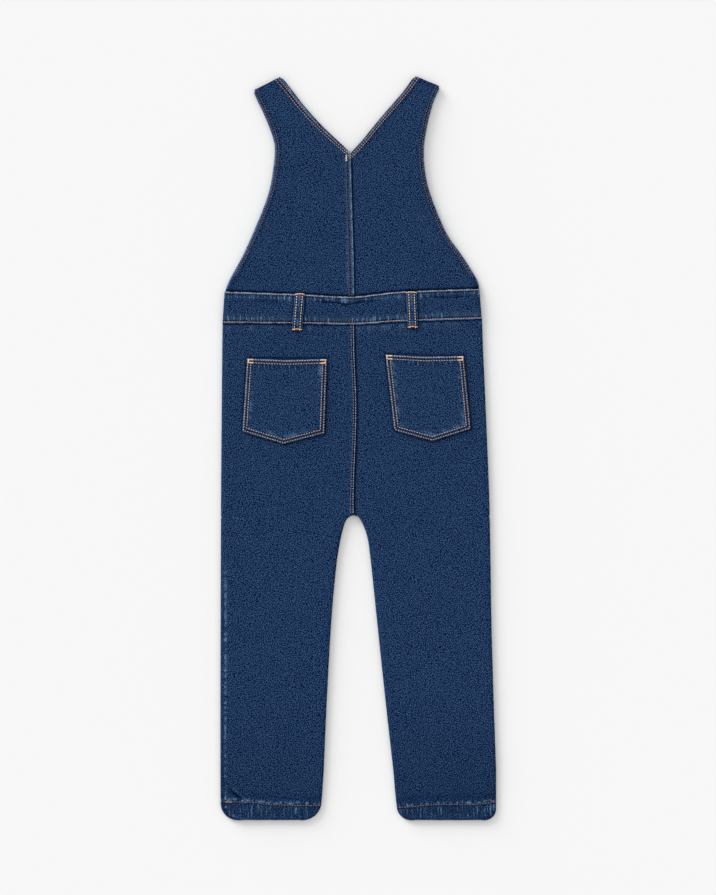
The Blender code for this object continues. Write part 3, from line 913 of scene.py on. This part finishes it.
def backBodice(side):
    node = "back_bodice_" + side
    half = bodice[side]
    back = tableRows(half["rows"], 2.1, half["corner"])
    back[:, 4] += top(node) - fabric["wall"] / 2
    front = tableRows(half["strap"], 3.0)
    fold = shoulderRows(back[-1], front[0])
    rows = np.concatenate([back, fold, front])
    straight = rows.copy()
    rows = roundedEnds(rows, len(back) + len(fold) // 2, bodice["shoulderCorner"])
    sheet = spread(rows, 0.0, "free", "free", fabric["step"], fabric["wall"] / 2)
    sheet["leftLine"], sheet["rightLine"] = straight[:, 0:2], straight[:, 2:4]
    followWaist(sheet, waistTop, 0, waist["margin"] + fabric["seamGap"])
    x, y, along = sheet["x"], sheet["y"], sheet["along"]
    fromArmhole = sheet[side]
    fromInner = sheet["right" if side == "left" else "left"]
    fromWaist = y - waistY(waistTop, x)
    rowNumber = np.arange(len(rows))[:, None]
    onBack = (rowNumber < len(back)) * (1 - smoothStep(len(back) - 5, len(back), rowNumber))
    neckRoll = rows[:, 7:8] if side == "left" else rows[:, 6:7]
    onNeck = np.clip(neckRoll * 1.25, 0, 1) * onBack
    onSeam = onBack - onNeck

    lift = waves(x, y, bodice["waves"])
    turned = 1 - smoothStep(5.0, 7.2, fromArmhole) + (1 - smoothStep(6.0, 8.2, fromInner)) * onNeck
    lift = lift + bodice["turnedEdge"] * turned
    lift = lift + bodice["armholePucker"] * wobble(along, 5.0, 43) * bell(fromArmhole, 3.6, 3)
    lift = lift + seamLap(side, fromInner) * onSeam
    lift = lift + waistDip(x, fromWaist, *bodice["waistDip"])
    sheet["z"] = np.maximum(sheet["z"] + lift * onBack, fabric["wall"] / 2)

    wear = wornAndShadedLines(fromArmhole, along, bodice["armholeWearAndShade"])
    wear = wear - 0.4 * bell(fromArmhole, 3.8, 1.6) * onBack
    wear = wear + wornAndShadedLines(fromInner, along, half["neckWearAndShade"]) * onNeck
    ends = along[[len(back) - 40, len(back) - 1], 0]
    outer, inner = (np.interp(along, ends, (low, high)) for high, low in half["neckRows"])
    wear = wear - 0.55 * bell(fromInner, (outer + inner) / 2, 2.2) * onNeck
    if side == "left":
        wear = wear + wornAndShadedLines(fromInner, y, bodice["seamWear"]) * onSeam
        wear = wear + 0.2 * np.clip(wobble(y, 4, 54), 0, 1) * bell(fromInner, 7.6, 1.2) * onSeam
    # painted shadow line beside the waistband's upper edge
    wear = wear - 1.1 * bell(fromWaist, 2.1, 1.6)
    sheet["wear"] = wear * onBack - bodice["shoulderShade"] * bell(rowNumber, len(back), 3.0)

    # painted shade beside the waistband's edge and, on the right half, beside the lap of the middle seam
    lines = [respace(waistTop + (0, waist["margin"] + 0.3), 14)]
    if side == "right":
        seam = sheet["leftLine"][: len(back)]
        seam = seam[seam[:, 1] < bodice["neckPoint"] + 0.5][::10]
        lines.append(respace(seam + (1.4, 0), 14))
    sheet["groove"] = distanceTo(x, y, lines) + fabric["noPaintedShade"] * (1 - onBack)
    piece = cloth("cloth_" + node, sheet, bodiceDenim, fabric["wall"])
    sheet["backRows"] = len(back)
    innerY = back[:, 3] if side == "left" else back[:, 1]
    sheet["cornerRow"] = int(np.argmin(np.abs(innerY - bodice["neckPoint"])))
    return finishPiece(piece, node), sheet


bodices = {side: backBodice(side) for side in sides}
print("bodice and straps cut")


# waistband, back and front
band = {
    "wall": 2.2,
    "low": 3.4,
    "lowPuckers": ((0.24, 0.25, 4.6, 61), (0.16, 0, 2.6, 62)),
    "highPuckers": ((0.24, -0.3, 5.4, 63), (0.16, 0, 3.1, 64)),
    "waves": ((0.25, 26, 65),),
    # worn line at each edge of the band, lighter puckers, and a line of painted shade beside the stitching
    "lowWearAndShade": ((0.3, 0.7, 0.52, 0.56, 3.4, 66), (5.0, 3.0, 0.12), (2.4, 0.6, -0.4)),
    "highWearAndShade": ((0.3, 0.7, 0.585, 0.63, 3.1, 67), (4.8, 3.0, 0.08), (2.6, 0.6, -0.4)),
    "creases": (
        {"start": (-46, 620.5), "end": (-12, 617.5), "width": 1.5, "depth": 0.9, "bend": 1.6},
        {"start": (-20, 616), "end": (18, 622), "width": 1.4, "depth": 0.6, "bend": 1.0},
        {"start": (84, 627.5), "end": (132, 628), "width": 1.6, "depth": 0.6, "bend": -1.0},
        {"start": (-128, 622), "end": (-88, 620.5), "width": 1.6, "depth": 0.45, "bend": 0.8},
    ),
}


def edgeSteps(depth, first, last, step):
    # shares of a depth, close together beside both edges
    near = np.array([0, 0.5, 1, 1.6, 2.3, 3.1, 4, 5, 6.2]) / depth
    return np.concatenate([near, np.arange(first, depth - last, step) / depth, 1 - near[::-1]])


def bandRows(inset):
    # rows between the two edges, from the bottom up
    depth = waistTop[:, 1].mean() - waistBottom[:, 1].mean() + 2 * waist["margin"]
    shares = edgeSteps(depth, 7.4, 7.2, 1.2)
    left = waistBottom[0] + (waistTop[0] - waistBottom[0]) * shares[:, None] + (inset, 0)
    right = waistBottom[-1] + (waistTop[-1] - waistBottom[-1]) * shares[:, None] - (inset, 0)
    rest = np.ones((len(shares), 1)) * (0.0, band["low"], 1, 1)
    return np.hstack([left, right, rest]), shares


def betweenWaistLines(sheet, shares):
    # lays the rows between the waist lines, and gives the distance from each edge
    low = waistY(waistBottom, sheet["x"]) - waist["margin"]
    high = waistY(waistTop, sheet["x"]) + waist["margin"]
    sheet["y"] = low + (high - low) * shares[:, None]
    return sheet["y"] - low, high - sheet["y"]


def backBand():
    node = "waistband_back"
    rows, shares = bandRows(0.0)
    sheet = spread(rows, top(node) - band["wall"] / 2, "fold", "fold", 1.7)
    sheet["z"] = np.maximum(sheet["z"], band["low"])
    fromLow, fromHigh = betweenWaistLines(sheet, shares)
    x, y = sheet["x"], sheet["y"]
    edgeDrop = 1 - np.sqrt(1 - (1 - np.clip(np.minimum(fromLow, fromHigh) / 1.2, 0, 1)) ** 2)
    lift = -0.9 * edgeDrop - 0.25 * bell(fromLow, 1.3, 0.9) - 0.25 * bell(fromHigh, 1.3, 0.9)
    lift = lift + puckers(x, y, band["lowPuckers"]) * bell(fromLow, 5.5, 3.6)
    lift = lift + puckers(x, y, band["highPuckers"]) * bell(fromHigh, 5.0, 3.4)
    lift = lift + waves(x, y, band["waves"]) + creases(x, y, band["creases"])
    sheet["z"] = sheet["z"] + lift
    sheet["pucker"] = 0.95 * bell(fromLow, 5.0, 3.0) + 0.8 * bell(fromHigh, 4.8, 3.2)
    wear = wornAndShadedLines(fromLow, x, band["lowWearAndShade"]) + wornAndShadedLines(fromHigh, x, band["highWearAndShade"])
    # painted shade along the band's creases
    sheet["wear"] = wear + 1.3 * creases(x, y, band["creases"])
    # painted shade beside the belt loops
    sheet["groove"] = distanceTo(x, y, [loopOutline(side) for side in sides])
    piece = cloth("cloth_" + node, sheet, bandDenim, band["wall"])
    return finishPiece(piece, node)


def frontBand():
    node = "waistband_front"
    rows, shares = bandRows(legs["frontInset"])
    sheet = spread(rows[::3], 1.2, "seam", "seam", 5.0)
    fromLow, fromHigh = betweenWaistLines(sheet, shares[::3])
    sheet["wear"] = 0.4 * bell(fromLow, 0.5, 1.0) + 0.4 * bell(fromHigh, 0.5, 1.0)
    piece = cloth("cloth_" + node, sheet, innerDenim, band["wall"])
    return finishPiece(piece, node)


bandBack, bandFront = backBand(), frontBand()
print("waistbands cut")


# bib, on the front
bib = {
    "rows": (
        (-155.0, 635.2, 141.0, 638.6, 0.6, 0.6, 0, 0),
        (-144.0, 657, 131.0, 657, 0.6, 0.6, 0, 0),
        (-124.3, 695, 105.0, 695, 0.8, 0.6, 0, 0),
        (-106.0, 733, 85.5, 733, 3.6, 0.6, 0, 0),
        (-98.5, 755, 76.5, 755, 4.9, 0.6, 0, 0),
        (-94.0, 772, 72.5, 772, 4.9, 0.6, 0, 0),
        (-92.5, 791, 71.0, 791, 4.9, 0.6, 0, 0),
    ),
}


def frontBib():
    rows = tableRows(bib["rows"], 4.0)
    rows[:, 4] = np.maximum(rows[:, 4], 0.6)
    sheet = spread(rows, 0.0, "seam", "seam", 4.0)
    followWaist(sheet, waistTop, 0, waist["margin"] + fabric["seamGap"])
    sheet["wear"] = 0.4 * bell(np.minimum(sheet["left"], sheet["right"]), 0.5, 0.9)
    piece = cloth("cloth_front_bib", sheet, innerDenim, fabric["wall"])
    return finishPiece(piece, "front_bib")


bibPiece = frontBib()


def backPocket(side):
    node = "pocket_" + side
    base = top("back_leg_" + side) + fabric["seamGap"] + pockets["wall"] / 2
    shares = edgeSteps(88.0, 7.5, 7.4, 1.5)
    rows = np.array([(*pocketEdge(side, share), pockets["puff"], base, 1, 1) for share in shares])
    sheet = spread(rows, base, "free", "free", 1.5)
    share = shares[:, None]
    across = (sheet["x"] - rows[:, 0:1]) / (rows[:, 2:3] - rows[:, 0:1])
    tent = 1 - np.abs(2 * across - 1)
    sheet["y"] = sheet["y"] - tent * (pockets["point"] * (1 - share) + pockets["sag"] * share)
    x, y = sheet["x"], sheet["y"]
    outline = pocketOutline(side, 0.0)
    fromBottom = distanceTo(x, y, [outline[1:4]])
    fromTop = distanceTo(x, y, [np.vstack([outline[4:6], outline[0]])])
    fromEdge = np.minimum(np.minimum(sheet["left"], sheet["right"]), fromBottom)
    sheet["z"] = base + (sheet["z"] - base) * smoothStep(-0.2, 3.5, fromBottom)

    seed = pockets["seeds"][side]
    topPucker = wobble(x + 0.2 * y, 4.4, seed + 1)
    edgePucker = wobble(x * 0.8 + y * 1.1, 4.8, seed + 2)
    lift = pockets["turnedEdge"] * (1 - smoothStep(4.4, 6.6, np.minimum(fromEdge, fromTop)))
    lift = lift * smoothStep(0, 1.6, fromEdge)
    lift = lift + 0.25 * swell(x, y, 30, seed) * smoothStep(3, 12, fromEdge)
    lift = lift + pockets["topPucker"] * topPucker * bell(fromTop, 8, 3.5)
    lift = lift + pockets["edgePucker"] * edgePucker * bell(fromEdge, 7, 3)
    sheet["z"] = sheet["z"] + lift

    wear = wornAndShadedLines(fromEdge, x + y, [(0.2, 0.7, 0.33, 0.33, 4.0, seed + 3)])
    wear = wear + wornAndShadedLines(fromTop, x, [(0.1, 0.8, 0.6, 0.4, 4.0, seed + 4), (2.9, 1.1, -0.45)])
    wear = wear + 0.3 * np.clip(edgePucker, 0, 1) * bell(fromEdge, 7.2, 2.2)
    sheet["wear"] = wear - 0.35 * bell(fromEdge, 3.1, 1.8) * smoothStep(5, 8, fromTop)
    sheet["pucker"] = 0.75 * bell(fromTop, 8.4, 3.0)
    piece = cloth("cloth_" + node, sheet, pocketDenim, pockets["wall"])
    return finishPiece(piece, node)


pocketPieces = {side: backPocket(side) for side in sides}


def beltLoop(side):
    node = "belt_loop_" + side
    loop = loops[side]
    onBand = top("waistband_back") + fabric["seamGap"] + loops["wall"] / 2
    onLeg = top("back_leg_" + side) + fabric["seamGap"] + loops["wall"] / 2
    # share of the length from the lower end, and the height there
    bowed, bowedMost = onBand + loops["bow"] * 0.8, onBand + loops["bow"]
    profile = np.array([(0.0, onLeg), (0.05, onLeg + 0.1), (0.13, onBand), (0.25, bowed), (0.45, bowedMost),
                        (0.7, bowed), (0.9, onBand), (1.0, onBand - 0.2)])
    rows = []
    for share in np.linspace(0, 1, 46):
        left, right, y = (low + (high - low) * share for low, high in zip(loop["bottom"], loop["top"]))
        rows.append((left, right, y, np.interp(share, profile[:, 0], profile[:, 1])))
    left, right, y, height = (column[:, None] for column in np.array(rows).T)
    width = loop["top"][1] - loop["top"][0]
    columns = np.concatenate([[0, 0.03, 0.07], np.linspace(0.13, 0.87, 13), [0.93, 0.97, 1]])
    beside = np.minimum(columns, 1 - columns)[None, :]
    fromEdge = beside * width
    ridge = bell(fromEdge, width / 2, 1.6)
    sheet = {
        "x": left + (right - left) * columns[None, :],
        "y": y * np.ones((1, len(columns))),
        "z": height - 0.5 * (1 - smoothStep(0, 0.12, beside)) + 0.2 * ridge,
    }
    wear = 0.3 * bell(fromEdge, 0.3, 0.5) - 0.6 * bell(fromEdge, width / 2 - loops["rows"], 1.2)
    sheet["wear"] = wear + (0.02 + 0.4 * wobble(sheet["y"], 3.0, 91)) * ridge
    piece = cloth("cloth_" + node, sheet, pocketDenim, loops["wall"])
    return finishPiece(piece, node)


loopPieces = {side: beltLoop(side) for side in sides}
print("pockets, loops and bib cut")

brass = buttonMaterial()
for side in sides:
    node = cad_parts["button_" + side]
    node.data.materials.clear()
    node.data.materials.append(brass)


# stitches: rows of short threads, each bent down into the cloth at both ends
stitching = {
    # sizes in millimetres, turns in radians
    "row": {"pitch": 3.1, "length": 1.6, "width": 0.85, "height": 0.45, "turn": 0.0, "wander": 0.10},
    "tack": {"pitch": 0.52, "length": 2.1, "width": 0.85, "height": 0.45,
             "turn": math.pi / 2, "wander": 0.16},
    "lift": 0.12,  # above the cloth
    "sides": 5,
    "bends": 3,
}


def stitchTree():
    tree = bpy.data.node_groups.new("stitches", "GeometryNodeTree")
    sizes = dict.fromkeys(stitching["row"], "Float")
    sockets = {"rows": "Geometry", **sizes, "seed": "Int", "thread": "Material"}
    for name, kind in sockets.items():
        tree.interface.new_socket(name, in_out="INPUT", socket_type="NodeSocket" + kind)
    tree.interface.new_socket("stitches", in_out="OUTPUT", socket_type="NodeSocketGeometry")
    given = tree.nodes.new("NodeGroupInput").outputs
    size = {name: Wire(tree, given[name]) for name in given.keys() if name}

    # one stitch
    half = size["length"] * 0.5
    start = addNode(tree, "ShaderNodeCombineXYZ", None, {0: half * -1.0, 2: size["height"] * -0.9})
    peak = addNode(tree, "ShaderNodeCombineXYZ", None, {2: size["height"] * 1.6})
    end = addNode(tree, "ShaderNodeCombineXYZ", None, {0: half, 2: size["height"] * -0.9})
    bow = addNode(tree, "GeometryNodeCurveQuadraticBezier", None,
                  {"Resolution": stitching["bends"], "Start": start, "Middle": peak, "End": end})
    ring = addNode(tree, "GeometryNodeCurvePrimitiveCircle", None,
                   {"Resolution": stitching["sides"], "Radius": size["width"] * 0.5})
    strand = addNode(tree, "GeometryNodeCurveToMesh", None,
                     {"Curve": bow, "Profile Curve": ring, "Fill Caps": True})

    # where each one goes, turned along its row
    line = addNode(tree, "GeometryNodeMeshToCurve", None, {"Mesh": size["rows"]})
    points = addNode(tree, "GeometryNodeCurveToPoints", {"mode": "LENGTH"},
                     {"Curve": line, "Length": size["pitch"]})
    tangent = Wire(tree, points.socket.node.outputs["Tangent"])
    aimed = addNode(tree, "FunctionNodeAlignRotationToVector", {"axis": "X"}, {"Vector": tangent})
    level = addNode(tree, "FunctionNodeAlignRotationToVector", {"axis": "Z", "pivot_axis": "X"},
                    {"Rotation": aimed, "Vector": (0, 0, 1)})
    drift = addNode(tree, "FunctionNodeRandomValue", {"data_type": "FLOAT"},
                    {"Min": size["wander"] * -1.0, "Max": size["wander"], "Seed": size["seed"]}, output=1)
    angle = addNode(tree, "ShaderNodeCombineXYZ", None, {2: size["turn"] + drift})
    spin = addNode(tree, "FunctionNodeEulerToRotation", None, {0: angle})
    turned = addNode(tree, "FunctionNodeRotateRotation", {"rotation_space": "LOCAL"},
                     {"Rotation": level, "Rotate By": spin})
    stretch = addNode(tree, "FunctionNodeRandomValue", {"data_type": "FLOAT_VECTOR"},
                      {"Min": (0.86, 0.85, 0.8), "Max": (1.1, 1.1, 1.1), "Seed": size["seed"]})
    placed = addNode(tree, "GeometryNodeInstanceOnPoints", None,
                     {"Points": points, "Instance": strand, "Rotation": turned, "Scale": stretch})
    solid = addNode(tree, "GeometryNodeRealizeInstances", None, {0: placed})
    smooth = addNode(tree, "GeometryNodeSetShadeSmooth", None, {0: solid})
    dyed = addNode(tree, "GeometryNodeSetMaterial", None, {0: smooth, "Material": size["thread"]})
    tree.links.new(dyed.socket, tree.nodes.new("NodeGroupOutput").inputs[0])
    return tree


stitches = stitchTree()


class Surface:
    # a piece's upper face, for dropping lines on
    def __init__(self, piece):
        mesh = bpy.data.meshes.new_from_object(piece.evaluated_get(bpy.context.evaluated_depsgraph_get()))
        corners = [tuple(vertex.co) for vertex in mesh.vertices]
        self.tree = BVHTree.FromPolygons(corners, [tuple(face.vertices) for face in mesh.polygons])
        bpy.data.meshes.remove(mesh)

    def lay(self, line, lift=0.0):
        runs, run = [], []
        for x, y in line:
            spot = Vector((x * scale * mm + middleX, y * scale * mm + hemY, 1.0))
            hit = self.tree.ray_cast(spot, Vector((0, 0, -1)))[0]
            if hit is None:
                runs.append(run)
                run = []
            else:
                run.append(hit + Vector((0, 0, lift)))
        return [part for part in runs + [run] if len(part) > 1]


def sew(name, piece, lines, thread, seed, kind="row", **sizes):
    # rows or tacks of thread laid on a finished piece
    surface = Surface(piece)
    host = bpy.data.meshes.new(name)
    corners, edges = [], []
    for line in lines:
        for run in surface.lay(respace(np.array(line, float), 0.9), stitching["lift"] * mm):
            edges += [(len(corners) + index, len(corners) + index + 1) for index in range(len(run) - 1)]
            corners += run
    host.from_pydata(corners, edges, [])
    rows = bpy.data.objects.new(name + " rows", host)
    bpy.context.scene.collection.objects.link(rows)
    work = rows.modifiers.new("stitches", "NODES")
    work.node_group = stitches
    values = {**stitching[kind], **sizes}
    for size in ("pitch", "length", "width", "height"):
        values[size] *= mm
    values.update({"seed": seed, "thread": threads[thread]})
    for item in stitches.interface.items_tree:
        if item.in_out == "INPUT" and item.name in values:
            work[item.identifier] = values[item.name]
    rows.update_tag()
    bpy.context.view_layer.update()
    sewn = bpy.data.meshes.new_from_object(rows.evaluated_get(bpy.context.evaluated_depsgraph_get()))
    bpy.data.objects.remove(rows)
    row = bpy.data.objects.new(name.replace(" ", "_"), sewn)
    bpy.context.scene.collection.objects.link(row)
    return finishPiece(row, piece.name.removeprefix("cloth_"))


def beside(sheet, side, distance, first=0, last=None):
    # the panel's left or right edge, moved in by a distance that may change along it
    edge = sheet[side + "Line"][first:last]
    distances = np.linspace(distance[0], distance[1], len(edge)) if np.ndim(distance) else distance
    away = 1 if side == "right" else -1
    run = direction(edge)
    inward = np.stack([-run[:, 1], run[:, 0]], axis=1)
    return edge + inward * (np.ones(len(edge)) * distances * away)[:, None]


# bodice: two rows round the neck, two round each armhole, and quiet ones down the middle seam
for side in sides:
    piece, sheet = bodices[side]
    rows, corner = sheet["backRows"], sheet["cornerRow"]
    neck = []
    for high, low in bodice[side]["neckRows"]:
        row = beside(sheet, "right" if side == "left" else "left", (low, high), corner, rows)
        back = row[0] - row[3]
        neck.append(np.vstack([row[0] + back / np.linalg.norm(back) * 4.5, row]))
    armhole = [beside(sheet, side, distance, 0, rows) for distance in bodice["armholeRows"]]
    armhole = [row[row[:, 1] > 652] for row in armhole]
    sew("neck stitches " + side, piece, neck, "tan", 3, width=0.7)
    sew("armhole stitches " + side, piece, armhole, "rust", 4, width=0.55, length=1.3)
piece, sheet = bodices["left"]
seam = sheet["rightLine"][: sheet["cornerRow"]]
sew("middle seam stitches", piece, [seam - (2.6, 0), seam - (6.0, 0)], "sunken", 5)
sew("neck tack", piece, [((-14.2, 796.5), (-14.2, 790.5))], "tack", 6, "tack", length=1.6)

# seat seam and hems
piece, sheet = backLegs["left"]
seam = sheet["rightLine"][sheet["rightLine"][:, 1] > 368]
sew("seat seam stitches", piece, [seam - (3.6, 0)], "seat", 7, width=0.8)
sew("seat edge stitches", piece, [seam - (0.9, 0)], "pale", 17, width=0.7)
for side in sides:
    row = smoothLine(legs[side]["hemLine"], 2.0)
    sew("hem stitches " + side, backLegs[side][0], [row], "hem", 8, width=0.62)
tack = ((-158.6, 21.7), (-152.5, 21.3))
sew("hem tack", piece, [tack], "bar", 9, "tack", pitch=1.1, length=1.1, wander=0.7, width=0.7)

# waistband
rows = [waistTop[1:-1], waistBottom[1:-1]]
sew("waist stitches", bandBack, rows, "tan", 10, wander=0.16, length=2.2, width=0.65)

# pockets: two rows along the mouth, two round the other sides, and a tack at each top corner
for side in sides:
    piece = pocketPieces[side]
    outer, inner = pocketOutline(side, pockets["firstRow"]), pocketOutline(side, pockets["secondRow"])
    mouth = [np.vstack([outline[4:6], outline[0]]) for outline in (outer, inner)]
    tacks = []
    for corner, inward in ((outer[0], 1), (outer[4], -1)):
        tacks.append((corner, corner + (inward * 6.0, -0.2)))
        tacks.append((corner - (0, 3.6), corner + (inward * 6.0, -3.8)))
        tacks.append((corner + (inward * 0.4, -0.4), corner + (inward * 0.5, -3.6)))
    sew("pocket stitches " + side, piece, [outer[0:5], inner[0:5]], "beige", 11, width=0.78)
    sew("pocket mouth stitches " + side, piece, mouth, "beige", 12, length=1.8, width=0.7)
    sew("pocket tacks " + side, piece, tacks, "tack", 13, "tack", length=1.3)

# belt loops
for side in sides:
    piece = loopPieces[side]
    low, high = loops[side]["bottom"], loops[side]["top"]
    rows, tacks = [], []
    for offset in (-loops["rows"], loops["rows"]):
        start = ((low[0] + low[1]) / 2 + offset, low[2] + 1)
        rows.append((start, ((high[0] + high[1]) / 2 + offset, high[2] - 1)))
    for (left, right, y), shift in ((high, -1.2), (low, 1.6)):
        width = right - left - 0.8
        tacks.append([(left + 0.4 + width * share, y + shift + rise) for share, rise in loops["tack"]])
    sew("loop stitches " + side, piece, rows, "loop", 14, width=0.92)
    sew("loop tacks " + side, piece, tacks, "bar", 15, "tack", length=1.1, width=0.7)
print("stitched")


# floor, light and camera
studio = {
    "paper": (0.90, 0.90, 0.90, 1),
    "floorSize": 8,
    "floorDrop": 0.0004,
    "sky": 0.775,
    "sun": 3.55,
    "sunFrom": (-0.74, 0.80, 0.26),
    "sunSpread": 32.0,  # degrees: a soft box, so that shadows have no hard edge
    "viewWidth": 0.8592,  # how much of the floor the picture is wide
    "viewMiddle": (-0.0003, 0.0012),
    "viewHeight": 6.0,
}


def layFloor():
    bpy.ops.mesh.primitive_plane_add(size=studio["floorSize"], location=(0, 0, -studio["floorDrop"]))
    floor = bpy.context.object
    floor.name = "floor"
    material, tree, shader = newMaterial("white paper")
    shader.inputs["Base Color"].default_value = studio["paper"]
    shader.inputs["Roughness"].default_value = 0.95
    shader.inputs["Specular IOR Level"].default_value = 0.0
    floor.data.materials.append(material)


def setLights():
    world = bpy.data.worlds.new("studio")
    bpy.context.scene.world = world
    world.use_nodes = True
    background = world.node_tree.nodes["Background"]
    background.inputs["Color"].default_value = (1, 1, 1, 1)
    background.inputs["Strength"].default_value = studio["sky"]
    lamp = bpy.data.lights.new("window", "SUN")
    lamp.angle = math.radians(studio["sunSpread"])
    lamp.energy = studio["sun"]
    window = bpy.data.objects.new("window", lamp)
    window.location = studio["sunFrom"]
    window.rotation_euler = (-Vector(studio["sunFrom"])).to_track_quat("-Z", "Y").to_euler()
    bpy.context.scene.collection.objects.link(window)


def setCamera():
    lens = bpy.data.cameras.new("camera")
    lens.sensor_fit = "HORIZONTAL"
    lens.sensor_width = 36.0
    lens.lens = lens.sensor_width * studio["viewHeight"] / studio["viewWidth"]
    lens.clip_end = 30.0
    camera = bpy.data.objects.new("camera", lens)
    camera.location = (middleX + studio["viewMiddle"][0], studio["viewMiddle"][1], studio["viewHeight"])
    bpy.context.scene.collection.objects.link(camera)
    bpy.context.scene.camera = camera


layFloor()
setLights()
setCamera()
bpy.context.scene.view_settings.view_transform = "Standard"
bpy.context.scene.cycles.denoising_prefilter = "NONE"  # keeps the weave, which a smoothed guide loses
print("floor, light and camera set")
